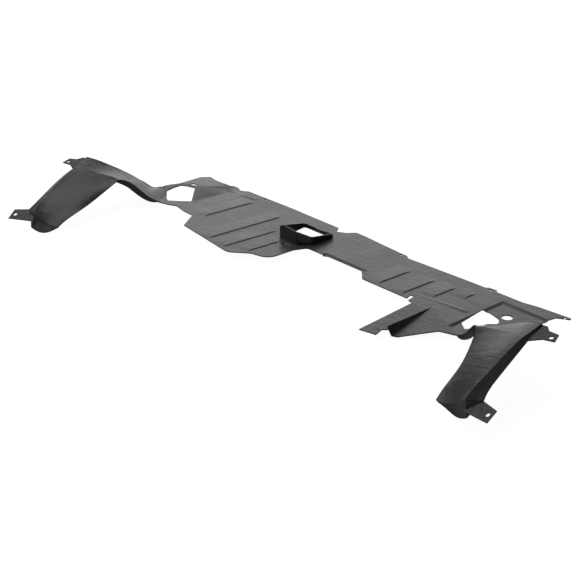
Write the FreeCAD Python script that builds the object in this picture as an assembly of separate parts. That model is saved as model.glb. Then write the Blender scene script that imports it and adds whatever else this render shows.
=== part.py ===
import FreeCAD, Part
import os
from math import atan2, cos, degrees, hypot, sin

# Engine splash shield: one black polypropylene sheet, pressed and trimmed.
# X runs across the car, +Y is towards its front, +Z is up. Millimetres.
# The panel is drawn level with its top face at z = 0 and its front edge near y = 0.
# The whole sheet is then tipped so that it lies as it comes to rest.

V = FreeCAD.Vector

# Sheet and fastening holes
sheet = 2.5
clip_hole = 8.0
bolt_hole = 9.0

# Panel outline
left_shoulder = 186.0
right_end = 560.0
front_edge = 6.0
rear_edge_middle = -128.0
rear_edge_right = -155.0
left_lobe_start = -359.0
left_end = left_lobe_start - left_shoulder
left_lobe_end = -46.0
left_lobe_rear = -277.0
neck_rear = -205.0
tip_reach = 46.0

# Tongue and the ramp beside it
tongue_left = 324.0
tongue_right = 368.0
tongue_rear = -318.0
ramp_slope = 0.16
ramp_start = -150.0
ramp_wall_run = 12.0
tongue_slope = 0.057

# Beads: height of the step, width of the slope that leads up to it
bead_height = 3.2
bead_width = 46.0
bead_step_run = 2.5
bead_end_run = 14.0
left_bead_lean = 4.5
right_bead_lean = 1.5

# Collar round the middle opening
collar_left = -132.0
collar_right = -34.0
collar_front = -43.0
collar_rear = -136.0
collar_corner = 26.0
collar_low = 4.0
collar_side = 31.0
collar_peak = 36.0
collar_slant_end = 19.0

# Raised corner at the left front
corner_height = 12.0

# Openings and pads at the ends
access_hole = 24.0
pad_depth = 3.0
pad_run = 7.0

# Side wings: one drawing, used on both sides
neck_x = 500.0
neck_y = -208.0
left_neck_inset = 45.0
right_neck_inset = 60.0
wing_swing = 9.2
wing_lift = 3.5
tuck = 0.3
left_root_height = 5.0
left_neck_height = -0.4
right_root_height = 0.7
right_neck_height = 1.2

# Rest: the shield lies on its front edge and on the foot of its left wing
foot = (637, -446, -34)


def rounded_wire(corners, z):
    """Closed outline through (x, y, radius) corners, each rounded by its own radius."""
    points = [V(x, y, z) for x, y, r in corners]
    count = len(points)
    edges = []
    joints = []
    for i, (x, y, r) in enumerate(corners):
        here = points[i]
        back = points[i - 1] - here
        ahead = points[(i + 1) % count] - here
        half = back.getAngle(ahead) / 2
        if r == 0:
            joints.append((here, None, here))
            continue
        reach = r * cos(half) / sin(half)
        back.normalize()
        ahead.normalize()
        middle = (back + ahead).normalize() * (r / sin(half) - r)
        joints.append((here + back * reach, here + middle, here + ahead * reach))
    for i, (start, middle, end) in enumerate(joints):
        if middle is not None:
            edges.append(Part.Arc(start, middle, end).toShape())
        following = joints[(i + 1) % count][0]
        if end.distanceToPoint(following) > 1e-6:
            edges.append(Part.makeLine(end, following))
    return Part.Wire(edges)


def prism(corners, z_low, z_high):
    face = Part.Face(rounded_wire(corners, z_low))
    return face.extrude(V(0, 0, z_high - z_low))


def rectangle(x0, x1, y0, y1, z):
    return Part.makePolygon([V(x0, y0, z), V(x1, y0, z), V(x1, y1, z), V(x0, y1, z), V(x0, y0, z)])


def wall_inset(run, height, skin):
    """How far a drafted wall moves sideways so that the sheet keeps its thickness there."""
    return skin * (hypot(run, height) - run) / height


def raised(x0, x1, y0, y1, height, runs, skin):
    """A pressed rise. runs are the wall runs at x0, x1, y0 and y1. skin is 0 above, the sheet below."""
    inset = [wall_inset(run, height, skin) for run in runs]
    low = rectangle(x0 + inset[0], x1 - inset[1], y0 + inset[2], y1 - inset[3], -skin - 1)
    base = rectangle(x0 + inset[0], x1 - inset[1], y0 + inset[2], y1 - inset[3], -skin)
    top = rectangle(x0 + inset[0] + runs[0], x1 - inset[1] - runs[1],
                    y0 + inset[2] + runs[2], y1 - inset[3] - runs[3], height - skin)
    foot = Part.makeLoft([low, base], True, True)
    return foot.fuse(Part.makeLoft([base, top], True, True))


def sunk(x0, x1, y0, y1, depth, runs, skin):
    """A pressed pit, to be cut away."""
    grow = [wall_inset(run, depth, skin) for run in runs]
    high = rectangle(x0 - grow[0], x1 + grow[1], y0 - grow[2], y1 + grow[3], 60)
    base = rectangle(x0 - grow[0], x1 + grow[1], y0 - grow[2], y1 + grow[3], -skin)
    floor = rectangle(x0 - grow[0] + runs[0], x1 + grow[1] - runs[1],
                      y0 - grow[2] + runs[2], y1 + grow[3] - runs[3], -depth - skin)
    mouth = Part.makeLoft([base, high], True, True)
    return mouth.fuse(Part.makeLoft([floor, base], True, True))


def outline_at(corners, z):
    return Part.makePolygon([V(x, y, z) for x, y in corners + corners[:1]])


def raised_field(top, foot, height, skin):
    """A pressed rise from a foot outline to a level top. Both have as many corners."""
    thinner = wall_inset(hypot(top[2][0] - foot[2][0], top[2][1] - foot[2][1]), height, skin)
    crest = outline_at(top, height - skin).makeOffset2D(-thinner, 2)
    base = outline_at(foot, -skin).makeOffset2D(-thinner, 2)
    low = base.copy()
    low.translate(V(0, 0, -1))
    return Part.makeLoft([low, base], True, True).fuse(Part.makeLoft([base, crest], True, True))


def turned(shape, x, y, angle):
    shape.rotate(V(x, y, 0), V(0, 0, 1), angle)
    return shape


def beads(skin):
    """Saw-tooth stiffening beads: each rises slowly from the left and drops in a step."""
    left = ((-330, -184, -31), (-216, -262, -45), (-157, -268, -112), (-103, -246, -147))
    right = ((215, -150, -48), (284, -152, -45), (340, -116, -41), (388, -72, -31))
    shapes = []
    for group, lean in ((left, left_bead_lean), (right, right_bead_lean)):
        for step, rear, front in group:
            runs = (bead_width - 8, bead_step_run, bead_end_run, bead_end_run)
            bead = raised(step - bead_width, step, rear, front, bead_height, runs, skin)
            shapes.append(turned(bead, step, (rear + front) / 2, -lean))
    return shapes


def fall_away(x, y, length, angle, fall_slope, skin):
    """What is cut from the block so that its top falls to the rear from a fold line."""
    run = 250.0
    profile = Part.makePolygon([V(0, 0, -skin), V(0, -run, -skin - run * fall_slope),
                                V(0, -run, 60), V(0, 0, 60), V(0, 0, -skin)])
    wedge = Part.Face(profile).extrude(V(length, 0, 0))
    wedge.rotate(V(0, 0, 0), V(0, 0, 1), angle)
    wedge.translate(V(x, y, 0))
    return wedge


def ramp(skin):
    """The floor beside the tongue, which falls away to the rear from a slanting fold."""
    fold_angle = degrees(atan2(neck_y - ramp_start, right_end - right_neck_inset - 10 - tongue_right))
    wedge = fall_away(tongue_right, ramp_start, 300, fold_angle, ramp_slope, skin)
    wall_height = 20.0
    grow = wall_inset(ramp_wall_run, wall_height, skin)
    left = tongue_right - grow
    side = Part.makePolygon([V(left, -600, -skin), V(left + ramp_wall_run, -600, -skin - wall_height),
                             V(left + ramp_wall_run + 60, -600, -skin - wall_height - 60),
                             V(900, -600, -skin - wall_height - 60), V(900, -600, 60),
                             V(left, -600, 60), V(left, -600, -skin)])
    room = Part.Face(side).extrude(V(0, 700, 0))
    return wedge.common(room)


def panel_form(skin):
    """The press block under the panel: its top is the sheet's top (skin 0) or underside (skin = sheet)."""
    block = Part.makeBox(1400, 500, 100, V(-700, -400, -100 - skin))
    rises = beads(skin)
    end = left_end
    corner_top = [(end - 95, -104), (end + 21, -100), (end + 62, -80), (end + 97, -24), (end + 115, 60),
                  (end - 95, 60)]
    corner_foot = [(end - 155, -190), (end + 5, -186), (end + 115, -136), (end + 124, -34), (end + 131, 60),
                   (end - 155, 60)]
    rises.append(raised_field(corner_top, corner_foot, corner_height, skin))
    rises.append(turned(raised(-436, -330, -34, -18, 3, (7, 7, 7, 7), skin), -383, -26, 7))
    rises.append(turned(raised(300, 436, -128, -112, 3, (7, 7, 7, 7), skin), 368, -120, 6))
    block = block.fuse(rises)
    pits = [sunk(right_end - 113, 700, -190, -18, pad_depth, (pad_run, pad_run, pad_run, pad_run), skin)]
    pits.append(sunk(18, 150, -160, -117, 4, (4, 4, 4, 4), skin))
    pits.append(sunk(-90, -66, -158, -146, 3, (4, 4, 4, 4), skin))
    pits.append(ramp(skin))
    pits.append(fall_away(tongue_left - 20, rear_edge_right - 8, tongue_right - tongue_left + 20, 0,
                          tongue_slope, skin))
    return block.cut(pits)


def panel_outline():
    rear = rear_edge_middle
    corners = [
        (left_end + 15, -70, 6), (left_end + 19, -103, 8), (left_end + 4, -122, 8), (left_end - 4, -134, 4),
        (left_end - 5, -142, 4), (left_end + left_neck_inset + 5, neck_rear, 8),
        (left_end + 87, neck_rear + 8, 0), (left_end + 109, neck_rear + 18, 10),
        (left_lobe_start - 41, neck_rear + 10, 0),
        (left_lobe_start - 3, neck_rear + 8, 0), (left_lobe_start + 32, -251, 0), (-138, left_lobe_rear, 30),
        (-96, -242, 30), (left_lobe_end - 2, -232, 30), (left_lobe_end, -160, 30),
        (left_lobe_end + 14, rear, 14), (24, rear, 6), (30, rear + 5, 6), (136, rear + 5, 6), (144, rear - 2, 6),
        (169, rear_edge_right, 12),
        (302, rear_edge_right, 0), (297, -138, 0), (308, -138, 0), (312, -161, 0), (tongue_left + 2, -164, 0),
        (tongue_left + 2, tongue_rear - 2, 0), (tongue_right - 2, tongue_rear + 6, 0),
        (tongue_right - 8, -289, 0), (tongue_right + 1, -281, 0), (tongue_right + 23, -276, 0),
        (right_end - 114, -214, 12), (right_end - right_neck_inset - 18, neck_rear - 4, 0),
        (right_end - right_neck_inset - 7, neck_rear, 8),
        (right_end - 24, -136, 4), (right_end + 7, -127, 10), (right_end + 2, -109, 10), (right_end, -60, 10),
        (right_end + 5, -28, 0), (right_end + 11, 2, 0),
        (right_end + tip_reach, front_edge + 16, 3), (right_end - 40, front_edge + 9, 0),
        (right_end - 80, front_edge + 1, 0), (410, front_edge + 1, 0), (405, front_edge + 8, 0),
        (385, front_edge + 6, 0), (380, front_edge + 1, 0), (163, front_edge - 8, 0), (150, front_edge, 0),
        (130, front_edge, 0), (12, front_edge + 11, 20), (-20, front_edge + 11, 8), (-34, -1, 0), (-56, -14, 0),
        (-69, front_edge, 0), (-240, front_edge + 3, 40), (-300, front_edge + 2, 0),
        (left_end + 155, front_edge, 0), (left_end + 133, -3, 6), (left_end + 109, front_edge + 2, 8),
        (left_end + 97, -5, 6), (left_end + 75, -13, 10), (left_end + 45, -13, 10), (left_end + 21, -7, 6),
        (left_end + 8, -30, 20),
    ]
    return corners


def collar_outline(inset):
    """The collar in plan, with its rear right corner cut off at a slant."""
    cut = collar_corner
    return [(collar_left + inset, collar_front - inset, 6), (collar_left + 12 + inset, collar_rear + inset, 6),
            (collar_right - cut - inset / 2, collar_rear + inset, 8),
            (collar_right - inset, collar_rear + cut + inset / 2, 8),
            (collar_right - inset, collar_front - inset, 6)]


def rim_cut(profile, along, start, end):
    """What lies above a rim: profile runs along Y or X and is swept from start to end the other way."""
    points = [(profile[0][0], 90)] + profile + [(profile[-1][0], 90), (profile[0][0], 90)]
    if along == "y":
        wire = Part.makePolygon([V(start, p, z) for p, z in points])
        return Part.Face(wire).extrude(V(end - start, 0, 0))
    wire = Part.makePolygon([V(p, start, z) for p, z in points])
    return Part.Face(wire).extrude(V(0, end - start, 0))


def collar():
    """Walls round the opening: a tall one behind and across the slanted corner, and low ones elsewhere."""
    walls = prism(collar_outline(0), -sheet, collar_peak)
    tall_end = collar_rear + collar_corner
    right_wall = collar_right - 1.2 * sheet
    left_rim = [(collar_rear + sheet, collar_side), (collar_front + 10, collar_low), (20, collar_low)]
    back_rim = [(collar_left - 9, collar_side - 12), (collar_left + 28, collar_peak),
                (collar_right - collar_corner, collar_peak - 5), (right_wall, collar_slant_end),
                (right_wall + 1, collar_low), (60, collar_low)]
    walls = walls.cut(rim_cut(left_rim, "y", collar_left - 20, collar_left + 40))
    walls = walls.cut(rim_cut([(tall_end, collar_low + 2), (20, collar_low)], "y", collar_left + 40, 60))
    return walls.cut(rim_cut(back_rim, "x", tall_end, collar_rear - 20))


def panel():
    form = panel_form(0)
    sheet_body = form.cut(panel_form(sheet))
    sheet_body = sheet_body.common(prism(panel_outline(), -80, 80))
    sheet_body = sheet_body.fuse(collar())
    return sheet_body.cut(panel_openings())


def hole(x, y, diameter):
    return Part.makeCylinder(diameter / 2, 160, V(x, y, -80))


def panel_openings():
    duct = prism(collar_outline(sheet), -80, 80)
    left_cut = [(21, -148, 4), (49, -172, 4), (67, -182, 4), (87, -166, 4), (111, -143, 2),
                (86, -116, 0), (63, -92, 2), (40, -100, 4), (27, -108, 4), (22, -127, 0)]
    left_slit = [(39, -92, 1.5), (38, -80, 1.5), (56, -75, 1.5), (58, -83, 1.5)]
    right_cut = [(-108, -154, 2), (-115, -80, 3), (-101, -75, 4), (-71, -83, 6), (-59, -92, 6), (-54, -105, 6),
                 (-68, -120, 6), (-69, -135, 4), (-72, -152, 4), (-83, -172, 2)]
    cuts = [prism([(end + x, y, r) for x, y, r in corners], -80, 80)
            for end, corners in ((left_end, left_cut), (left_end, left_slit), (right_end, right_cut))]
    holes = [hole(right_end - 60, -67, access_hole), hole(-78, -152, 5), hole(-322, 1, clip_hole), hole(140, 0, clip_hole),
             hole(395, 4, clip_hole), hole(right_end + tip_reach - 22, front_edge + 8, clip_hole),
             hole(left_end + 26, -20, clip_hole), hole(tongue_right - 14, tongue_rear + 24, 5)]
    return [duct] + cuts + holes


def curve(points):
    spline = Part.BSplineCurve()
    spline.interpolate([V(*p) for p in points])
    return spline.toShape()


def skin_of(sections):
    """A smooth face through its section curves."""
    return Part.makeLoft([Part.Wire([curve(s)]) for s in sections], False, False).Faces[0]


def edge_at(face, point):
    """The edge of a face that runs nearest to a point."""
    return min(face.Edges, key=lambda edge: edge.distToShape(Part.Vertex(V(*point)))[0])


def strip(edge, points, inside):
    """A straight-ruled face from just inside an edge to a curve."""
    start = edge.copy()
    start.translate((V(*inside) - edge.valueAt(edge.FirstParameter)).normalize() * tuck)
    return Part.makeRuledSurface(start, curve(points))


def thickened(face, inside):
    """The sheet behind a face, on the side where the inside point lies."""
    u0, u1, v0, v1 = face.ParameterRange
    middle = face.valueAt((u0 + u1) / 2, (v0 + v1) / 2)
    normal = face.normalAt((u0 + u1) / 2, (v0 + v1) / 2)
    side = 1 if normal.dot(V(*inside) - middle) > 0 else -1
    return face.makeOffsetShape(side * sheet, 0.01, fill=True)


def plate(points, inside):
    """A flat stretch of sheet through its outer corners."""
    corners = [V(*p) for p in points]
    normal = (corners[1] - corners[0]).cross(corners[2] - corners[0]).normalize()
    if normal.dot(V(*inside) - corners[0]) < 0:
        normal = normal * -1
    depth = normal.dot(corners[0])
    depth = depth + tuck
    flat = [p - normal * (p.dot(normal) - depth) for p in corners]
    return Part.Face(Part.makePolygon(flat + [flat[0]])).extrude(normal * sheet)


def drilled(shape, centre, axis, diameter):
    way = V(*axis).normalize()
    start = V(*centre) - way * 20
    return shape.cut(Part.makeCylinder(diameter / 2, 40, start, way))


def slope():
    """The wing's long face, from the bend at its foot up to the crease."""
    return skin_of([
        [(592, -442, -14), (589, -405, 0), (585, -362, 10), (578, -310, 29), (565, -257, 56)],
        [(614, -444, -14), (611, -405, 8), (606, -362, 26), (601, -310, 45), (597, -257, 61)],
        [(632, -446, -8), (630, -405, 18), (628, -362, 37), (627, -310, 55), (628, -265, 66)],
        [(648, -450, 2), (650, -405, 28), (652, -362, 48), (654, -315, 64), (656, -276, 73)],
        [(661, -453, 12), (668, -412, 35), (674, -374, 50), (679, -333, 65), (684, -290, 77)],
    ])


def wing(root_height, neck_height):
    """Slope, crown, strap and their turned-down edges, with the two fixing tabs."""
    under = (625, -330, -60)
    behind = (640, -300, -20)
    inboard = (520, -200, -60)
    face = slope()
    crown = strip(edge_at(face, (628, -265, 66)),
                  [(580, -172, 31), (600, -182, 44), (635, -205, 65), (665, -227, 82), (694, -236, 88)], under)
    near = curve([(484, -205, neck_height), (501, -212, 7), (519, -220, 20), (538, -233, 41), (565, -257, 56)])
    strap = strip(near, [(525, -132, root_height), (539, -139, root_height + 5), (552, -150, 9), (562, -162, 19),
                         (581, -172, 31)], inboard)
    lip = strip(edge_at(face, (632, -446, -8)),
                [(596, -441, -19), (614, -440, -28), (637, -446, -34), (652, -452, -31), (668, -458, -23)], behind)
    flange = strip(edge_at(face, (674, -374, 50)),
                   [(692, -442, 11), (689, -418, 24), (691, -380, 40), (694, -330, 59), (694, -288, 71)], behind)
    strap_lip = strip(near, [(488, -207, neck_height - 1.7), (503, -215, -2), (522, -222, 5), (540, -232, 20),
                             (564, -256, 53)], (520, -180, 0))
    wall = strip(edge_at(crown, (635, -205, 65)),
                 [(584, -184, -4), (600, -186, 6), (640, -208, 28), (665, -228, 48), (694, -238, 68)], under)
    strap_wall = strip(edge_at(strap, (552, -150, 9)),
                       [(532, -140, -2), (548, -156, -8), (560, -172, -10), (572, -180, -9), (585, -184, -4)],
                       (500, -220, 0))
    tab_a = plate([(691, -440, 11), (727, -456, 9), (723, -482, -5), (667, -456, -22)], (690, -430, -40))
    parts = [thickened(face, under), thickened(crown, under), thickened(strap, inboard),
             thickened(lip, behind), thickened(flange, behind),
             thickened(wall, under), thickened(strap_lip, (520, -180, 0)), thickened(strap_wall, (500, -220, 0))]
    parts.append(plate([(684, -290, 77), (694, -236, 88), (694, -288, 71)], (640, -260, 70)))
    parts.append(plate([(661, -453, 12), (692, -442, 11), (668, -458, -23)], (640, -430, 0)))
    tab_b = plate([(693, -288, 72), (716, -276, 76), (741, -276, 77), (738, -256, 84), (716, -252, 87),
                   (706, -240, 90), (690, -238, 88), (688, -288, 72)], under)
    parts.append(drilled(tab_b, (729, -268, 80), (0, -0.37, 0.93), bolt_hole))
    parts.append(drilled(tab_a, (715, -466, 2), (0.17, 0.5, -0.85), bolt_hole))
    return parts[0].fuse(parts[1:])


def placed_wing(side):
    if side < 0:
        shape = wing(left_root_height, left_neck_height)
    else:
        shape = wing(right_root_height, right_neck_height)
    shape.rotate(V(neck_x, neck_y, 0), V(0, 0, 1), side * wing_swing)
    shape.rotate(V(neck_x, neck_y, 0), V(0, 1, 0), -side * wing_lift)
    if side < 0:
        shape = shape.mirror(V(0, 0, 0), V(1, 0, 0))
        shape.translate(V(left_end + left_neck_inset + neck_x, 0, 0))
    else:
        shape.translate(V(right_end - right_neck_inset - neck_x, 0, 0))
    return shape


def rest_tip():
    """How far the sheet tips, front edge down, until the left wing's foot is level with that edge."""
    swing = FreeCAD.Rotation(V(0, 0, 1), -wing_swing)
    lift = FreeCAD.Rotation(V(0, 1, 0), wing_lift)
    pivot = V(neck_x, neck_y, 0)
    lowest = pivot + lift.multVec(swing.multVec(V(*foot) - pivot))
    return degrees(atan2(-lowest.z - sheet, front_edge + 11 - lowest.y))


def shield():
    body = panel().fuse([placed_wing(-1), placed_wing(1)])
    body.rotate(V(0, 0, 0), V(1, 0, 0), -rest_tip())
    box = body.optimalBoundingBox(False, False)
    body.translate(V(-box.Center.x, -box.Center.y, -box.ZMin))
    return body


os.makedirs("parts", exist_ok=True)
shield().exportStep("parts/splash_shield.step")
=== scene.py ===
import bmesh
import bpy
from math import radians
from mathutils import Matrix, Vector, noise


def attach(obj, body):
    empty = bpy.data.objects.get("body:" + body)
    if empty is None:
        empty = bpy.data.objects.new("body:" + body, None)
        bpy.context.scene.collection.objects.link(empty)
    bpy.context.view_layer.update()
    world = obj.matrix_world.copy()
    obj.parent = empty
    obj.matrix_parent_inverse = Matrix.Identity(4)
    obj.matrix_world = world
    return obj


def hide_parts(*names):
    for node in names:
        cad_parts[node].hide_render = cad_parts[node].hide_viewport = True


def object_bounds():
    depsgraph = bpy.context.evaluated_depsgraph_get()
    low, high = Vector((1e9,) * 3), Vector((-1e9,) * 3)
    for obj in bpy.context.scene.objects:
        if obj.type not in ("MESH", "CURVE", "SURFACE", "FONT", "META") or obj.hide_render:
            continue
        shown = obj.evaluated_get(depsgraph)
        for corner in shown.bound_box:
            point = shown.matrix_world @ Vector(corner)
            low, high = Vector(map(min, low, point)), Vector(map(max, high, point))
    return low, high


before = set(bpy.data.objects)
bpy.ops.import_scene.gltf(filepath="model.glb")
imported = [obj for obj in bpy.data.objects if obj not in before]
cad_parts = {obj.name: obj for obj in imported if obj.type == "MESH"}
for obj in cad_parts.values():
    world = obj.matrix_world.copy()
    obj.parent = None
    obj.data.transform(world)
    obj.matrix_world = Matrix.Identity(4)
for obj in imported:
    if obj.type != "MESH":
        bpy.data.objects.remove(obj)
cad_box = [list(corner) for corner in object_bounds()]

# Table and studio: a plain white floor that fades out of sight under a long lens.
# The camera stands high behind the shield and beyond its right end, as for the picture of the real one.
picture_width = 582
lens_in_pixels = 1400
camera = bpy.data.objects.new("camera", bpy.data.cameras.new("camera"))
camera.data.sensor_width = 36
camera.data.lens = camera.data.sensor_width * lens_in_pixels / picture_width
camera.data.clip_end = 40
camera.location = (2.08077, -1.77579, 1.4169)
camera.rotation_euler = (radians(62.013), radians(3.158), radians(47.531))
bpy.context.scene.collection.objects.link(camera)
bpy.context.scene.camera = camera

half_floor = 15
bm = bmesh.new()
bmesh.ops.create_grid(bm, x_segments=1, y_segments=1, size=half_floor)
floor = bpy.data.objects.new("floor", bpy.data.meshes.new("floor"))
bm.to_mesh(floor.data)
bm.free()
bpy.context.scene.collection.objects.link(floor)


def add_node(nodes, kind, values=None, **settings):
    """A new shader node, with its own settings and the values of its sockets."""
    node = nodes.new("ShaderNode" + kind)
    for setting, value in settings.items():
        setattr(node, setting, value)
    for socket, value in (values or {}).items():
        node.inputs[socket].default_value = value
    return node


def larger_of(nodes, link, first, second):
    """The larger of two sockets' values."""
    larger = add_node(nodes, "Math", operation="MAXIMUM")
    link(first, larger.inputs[0])
    link(second, larger.inputs[1])
    return larger.outputs[0]


def floor_finish():
    """White to the camera and in reflections, dim to the rest, with the shield's shadow kept."""
    glow_strength = 0.96
    matt_grey = (0.15, 0.15, 0.15, 1)
    dim_grey = (0.12, 0.12, 0.12, 1)
    shade_reach = 0.7
    shade_depth = 4
    material = bpy.data.materials.new("white_floor")
    material.use_nodes = True
    nodes = material.node_tree.nodes
    link = material.node_tree.links.new
    nodes.clear()
    out = add_node(nodes, "OutputMaterial")
    path = add_node(nodes, "LightPath")

    # Reflections see the floor darker where the sheet stands over it.
    open_floor = add_node(nodes, "AmbientOcclusion", {"Distance": shade_reach})
    under_sheet = add_node(nodes, "Math", {1: shade_depth}, operation="POWER")
    link(open_floor.outputs["AO"], under_sheet.inputs[0])
    lit = larger_of(nodes, link, path.outputs["Is Camera Ray"], under_sheet.outputs[0])
    strength = add_node(nodes, "Math", {1: glow_strength}, operation="MULTIPLY")
    link(lit, strength.inputs[0])
    glow = add_node(nodes, "Emission")
    link(strength.outputs[0], glow.inputs["Strength"])
    matt = add_node(nodes, "BsdfDiffuse", {"Color": matt_grey})
    bright = add_node(nodes, "AddShader")
    link(matt.outputs[0], bright.inputs[0])
    link(glow.outputs[0], bright.inputs[1])

    seen = larger_of(nodes, link, path.outputs["Is Camera Ray"], path.outputs["Is Glossy Ray"])
    seen = larger_of(nodes, link, seen, path.outputs["Is Transmission Ray"])
    dim = add_node(nodes, "BsdfDiffuse", {"Color": dim_grey})
    choose = add_node(nodes, "MixShader")
    link(seen, choose.inputs[0])
    link(dim.outputs[0], choose.inputs[1])
    link(bright.outputs[0], choose.inputs[2])
    link(choose.outputs[0], out.inputs[0])
    return material


floor.data.materials.append(floor_finish())

room_light = 0.12
world = bpy.data.worlds.new("soft_room")
world.use_nodes = True
world.node_tree.nodes["Background"].inputs["Color"].default_value = (1, 1, 1, 1)
world.node_tree.nodes["Background"].inputs["Strength"].default_value = room_light
bpy.context.scene.world = world


def soft_box(name, place, aim, width, height, power):
    """A wide lamp that points from its place to its aim."""
    lamp = bpy.data.lights.new(name, "AREA")
    lamp.shape = "RECTANGLE"
    lamp.size = width
    lamp.size_y = height
    lamp.energy = power
    holder = bpy.data.objects.new(name, lamp)
    holder.location = place
    holder.rotation_euler = (Vector(aim) - Vector(place)).to_track_quat("-Z", "Y").to_euler()
    bpy.context.scene.collection.objects.link(holder)


soft_box("overhead_light", place=(-1.0, 0.1, 2.7), aim=(-0.8, 0, 0), width=1.8, height=1.6, power=34)
soft_box("left_light", place=(-2.6, -1.4, 2.2), aim=(-0.4, -0.2, 0), width=3.0, height=2.4, power=28)
soft_box("back_light", place=(-2.3, 3.1, 1.75), aim=(0.1, 0, 0.2), width=4.2, height=3.3, power=80)
soft_box("front_light", place=(-2.0, -2.9, 1.2), aim=(-0.6, -0.35, 0.05), width=2.6, height=1.6, power=28)

# Splash shield: one sheet of black polypropylene, pressed to shape while hot and then trimmed.
# It is the CAD sheet again, with its wide faces cut into a net,
# so that they can take the soft unevenness that a thin moulding has.
fold_angle = radians(22)
sharp_angle = radians(40)
net_step = 0.018
sheet_thickness = 0.0025

# It is worked on in the panel's own frame: the panel lies flat at z = 0, with its front edge at y = 0.
panel_place = (-0.01603, 0.24642, 0.00411)
panel_tilt = radians(-4.43474)
tipped = Matrix.Translation(panel_place) @ Matrix.Rotation(panel_tilt, 4, "X")
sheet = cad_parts["splash_shield"]
bm = bmesh.new()
bm.from_mesh(sheet.data)
bm.transform(tipped.inverted())
bmesh.ops.remove_doubles(bm, verts=bm.verts, dist=0.00001)
bmesh.ops.dissolve_limit(bm, angle_limit=radians(1), verts=bm.verts, edges=bm.edges)


def part_way(value, start, end):
    """0 before the start, 1 past the end, and a soft change between them."""
    share = min(max((value - start) / (end - start), 0), 1)
    return share * share * (3 - 2 * share)


def points_in(x_range, y_range, z_range=(-1, 1)):
    """The sheet's points that lie inside these ranges, which are in metres."""
    ranges = (x_range, y_range, z_range)
    return [vert for vert in bm.verts
            if all(low < value < high for value, (low, high) in zip(vert.co, ranges))]


# The collar's low rim climbs again along its right side, to the tall wall behind it.
rim_across = (-0.080, -0.0335)
rim_along = (-0.111, -0.042)
rim_heights = (0.0038, 0.0066)
right_side = -0.0385
front_side = -0.0475
front_length = 0.046
front_rise = 0.005
side_start = -0.043
side_length = 0.067
side_rise = 0.009
for vert in points_in(rim_across, rim_along, rim_heights):
    x, y = vert.co.xy
    if x > right_side:
        vert.co.z += front_rise + side_rise * (side_start - y) / side_length
    elif y > front_side:
        vert.co.z += front_rise * (x - rim_across[0]) / front_length
bmesh.ops.remove_doubles(bm, verts=bm.verts, dist=0.00005)

# The beads are worn softer than they were drawn: their crests lie lower on both skins.
bead_share = 0.52
beaded_across = (-0.40, 0.40)
beaded_along = (-0.275, -0.02)
top_crest = 0.0034
under_crest = 0.001
facing_out = 0.3
bm.normal_update()
for vert in points_in(beaded_across, beaded_along):
    z = vert.co.z
    if vert.normal.z > facing_out and 0 < z < top_crest:
        vert.co.z = z * bead_share
    elif vert.normal.z < -facing_out and -sheet_thickness < z < under_crest:
        vert.co.z = (z + sheet_thickness) * bead_share - sheet_thickness


def keep_crisp(least_angle):
    """Marks each edge whose faces meet at more than this angle, so that it isn't shaded smooth."""
    for edge in bm.edges:
        if edge.is_manifold and edge.calc_face_angle(0) > least_angle:
            edge.smooth = False


# The folds stay crisp. The faces' directions are still those from before the beads were lowered,
# so that the beads' folds count as well. Then the faces are cut along both ways of the net.
keep_crisp(fold_angle)
for axis, start, end in ((0, -0.73, 0.76), (1, -0.51, 0.02)):
    across = Vector((0, 0, 0))
    across[axis] = 1
    place = start
    while place < end:
        whole = list(bm.verts) + list(bm.edges) + list(bm.faces)
        bmesh.ops.bisect_plane(bm, geom=whole, dist=0.00002, plane_co=across * place, plane_no=across)
        place += net_step

# The raised corner leans towards the front edge and runs out at its right end.
corner_across = (-0.56, -0.40)
corner_rear = -0.14
corner_height = 0.012
most_lean = 0.007
lean_zone = (-0.11, 0.01)
most_run_out = 0.005
run_out_across = (-0.475, -0.432)
run_out_along = (-0.075, -0.02)
for vert in points_in(corner_across, (corner_rear, 1)):
    x, y, z = vert.co
    height = min(max((z + sheet_thickness / 2) / corner_height, 0), 1)
    lean = most_lean * part_way(y, *lean_zone)
    run_out = most_run_out * part_way(x, *run_out_across) * part_way(y, *run_out_along)
    vert.co.z -= height * (lean + run_out)

# The lip under the left foot flares out a little, so that it catches the light.
foot_across = (-0.67, -0.5)
foot_front = -0.42
lip_top = -0.020
lip_depth = 0.02
flare_back = 0.45
flare_in = 0.22
for vert in points_in(foot_across, (-1, foot_front), (-1, lip_top)):
    flare = min(lip_top - vert.co.z, lip_depth)
    vert.co.y -= flare_back * flare
    vert.co.x += flare_in * flare

# Two pressed strips and the sunk rear edge are shallower and softer than the rest.
strip_fade = 0.007
for middle, half_size, turn, change in (((-0.383, -0.026), (0.046, 0.001), 7, -0.0018),
                                        ((0.368, -0.120), (0.061, 0.001), 6, -0.0014)):
    spin = Matrix.Rotation(radians(-turn), 2)
    for vert in bm.verts:
        along, aside = spin @ (vert.co.xy - Vector(middle))
        near_end = 1 - part_way(abs(along), half_size[0], half_size[0] + strip_fade)
        near_line = 1 - part_way(abs(aside), half_size[1], half_size[1] + strip_fade)
        vert.co.z += change * near_end * near_line
rear_rise = 0.0022
rear_across = (0.014, 0.154)
rear_front = -0.11
rear_left_end = (0.018, 0.024)
rear_right_end = (0.144, 0.150)
rear_step = (0.117, 0.122)
for vert in points_in(rear_across, (-1, rear_front), (-0.01, 0.01)):
    x, y = vert.co.xy
    between_ends = part_way(x, *rear_left_end) * (1 - part_way(x, *rear_right_end))
    vert.co.z += rear_rise * (between_ends * part_way(-y, *rear_step))


def unevenness(x, y, seed):
    """Height in millimetres of the soft waves that the sheet keeps from its mould."""
    wide_height = 2.2
    narrow_height = 0.7
    wide = noise.noise(Vector((x * 7, y * 9, seed)))
    narrow = noise.noise(Vector((x * 21, y * 28, seed + 5)))
    return wide_height * wide + narrow_height * narrow


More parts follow.
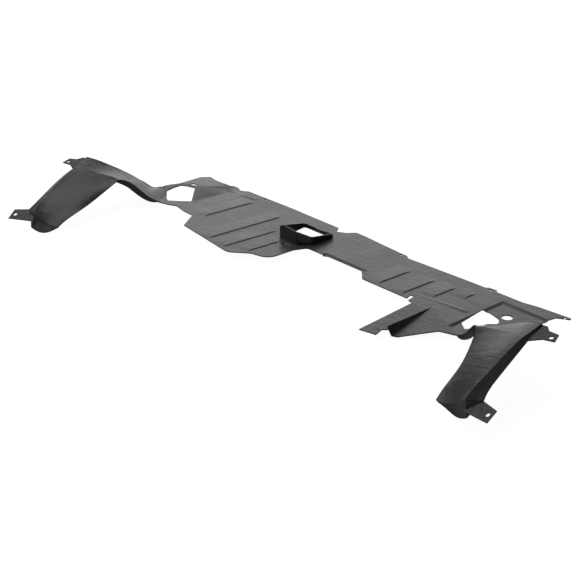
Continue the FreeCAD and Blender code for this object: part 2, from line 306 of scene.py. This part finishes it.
# The waves fade from the lips ahead of the front edge to a quarter of their height behind it.
# The wings, which are less stiff than the panel, also sway sideways.
millimetre = 0.001
stiff_share = 0.75
lip_width = 0.035
wing_sway = 0.0008
wing_start = 0.5
wing_front = -0.2
for vert in bm.verts:
    x, y, z = vert.co
    calm = 1 - stiff_share * part_way(-y, -lip_width, 0.0)
    vert.co.z += millimetre * unevenness(x, y, 1.0) * calm
    if abs(x) > wing_start and y < wing_front:
        vert.co.x += wing_sway * unevenness(y, z, 11.0)
        vert.co.y += wing_sway * unevenness(x, z, 17.0)

# The sheet goes back to where it lies, and nothing of it passes the box of the CAD solid.
bm.transform(tipped)
low, high = (Vector(corner) for corner in cad_box)
for vert in bm.verts:
    vert.co = Vector([min(max(vert.co[i], low[i]), high[i]) for i in range(3)])
bmesh.ops.triangulate(bm, faces=[face for face in bm.faces if len(face.verts) > 4])
bm.normal_update()
keep_crisp(sharp_angle)
shield = bpy.data.objects.new("moulded_sheet", bpy.data.meshes.new("moulded_sheet"))
bm.to_mesh(shield.data)
bm.free()
bpy.context.scene.collection.objects.link(shield)
shield.data.shade_smooth()
even = shield.modifiers.new("even_shading", "WEIGHTED_NORMAL")
even.keep_sharp = True
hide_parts("splash_shield")
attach(shield, "root")


def black_polypropylene():
    """Satin black sheet with a fine grain, drawn streaks, a little dust, and painted shade on the right
    wing and on faces that look sideways or down.
    """
    material = bpy.data.materials.new("black_polypropylene")
    material.use_nodes = True
    nodes = material.node_tree.nodes
    link = material.node_tree.links.new
    skin = nodes["Principled BSDF"]
    skin.inputs["Specular IOR Level"].default_value = 0.2
    place = add_node(nodes, "TexCoord")

    dust = add_node(nodes, "TexNoise", {"Scale": 14, "Detail": 6})
    link(place.outputs["Object"], dust.inputs["Vector"])
    shade = add_node(nodes, "ValToRGB")
    clean_end, dusty_end = shade.color_ramp.elements
    clean_end.position = 0.3
    clean_end.color = (0.036, 0.0335, 0.032, 1)
    dusty_end.position = 0.75
    dusty_end.color = (0.070, 0.065, 0.062, 1)
    link(dust.outputs["Fac"], shade.inputs["Fac"])
    dull = add_node(nodes, "MapRange", {"From Min": 0.3, "From Max": 0.7, "To Min": 0.28, "To Max": 0.42})
    link(dust.outputs["Fac"], dull.inputs["Value"])
    link(dull.outputs["Result"], skin.inputs["Roughness"])

    # Painted shade: the colour is darker on the right wing, and on faces that look sideways or down.
    where = add_node(nodes, "SeparateXYZ")
    link(place.outputs["Object"], where.inputs[0])
    by_wing = add_node(nodes, "MapRange", {"From Min": 0.40, "From Max": 0.58, "To Min": 1, "To Max": 0.6},
                       interpolation_type="SMOOTHSTEP")
    link(where.outputs["X"], by_wing.inputs["Value"])
    facing = add_node(nodes, "SeparateXYZ")
    link(place.outputs["Normal"], facing.inputs[0])
    by_slope = add_node(nodes, "MapRange", {"From Min": -0.2, "From Max": 0.5, "To Min": 0.2, "To Max": 1})
    link(facing.outputs["Z"], by_slope.inputs["Value"])
    painted_shade = add_node(nodes, "Math", operation="MULTIPLY")
    link(by_wing.outputs["Result"], painted_shade.inputs[0])
    link(by_slope.outputs["Result"], painted_shade.inputs[1])
    # The dust's colour, darkened by that painted shade, is the base colour.
    dust_and_painted_shade = add_node(nodes, "VectorMath", operation="SCALE")
    link(shade.outputs["Color"], dust_and_painted_shade.inputs[0])
    link(painted_shade.outputs["Value"], dust_and_painted_shade.inputs["Scale"])
    link(dust_and_painted_shade.outputs["Vector"], skin.inputs["Base Color"])

    # Three reliefs lie on each other: streaks from drawing, shallow dimples and the fine grain.
    # Each has its coordinates, the noise's scale and detail, and the bump's strength and depth.
    stretch = add_node(nodes, "Mapping", {"Scale": (9, 70, 30)})
    link(place.outputs["Object"], stretch.inputs["Vector"])
    reliefs = ((stretch.outputs["Vector"], 1, 4, 0.65, 0.0012),
               (place.outputs["Object"], 75, 3, 0.7, 0.0012),
               (place.outputs["Object"], 900, 2, 0.2, 0.0003))
    below = None
    for vector, scale, detail, strength, depth in reliefs:
        bumps = add_node(nodes, "TexNoise", {"Scale": scale, "Detail": detail})
        link(vector, bumps.inputs["Vector"])
        relief = add_node(nodes, "Bump", {"Strength": strength, "Distance": depth})
        link(bumps.outputs["Fac"], relief.inputs["Height"])
        if below:
            link(below, relief.inputs["Normal"])
        below = relief.outputs["Normal"]
    link(below, skin.inputs["Normal"])
    return material


shield.data.materials.clear()
shield.data.materials.append(black_polypropylene())

# The picture has Blender's plain view transform, so a colour shows about as it is written.
bpy.context.scene.view_settings.view_transform = "Standard"
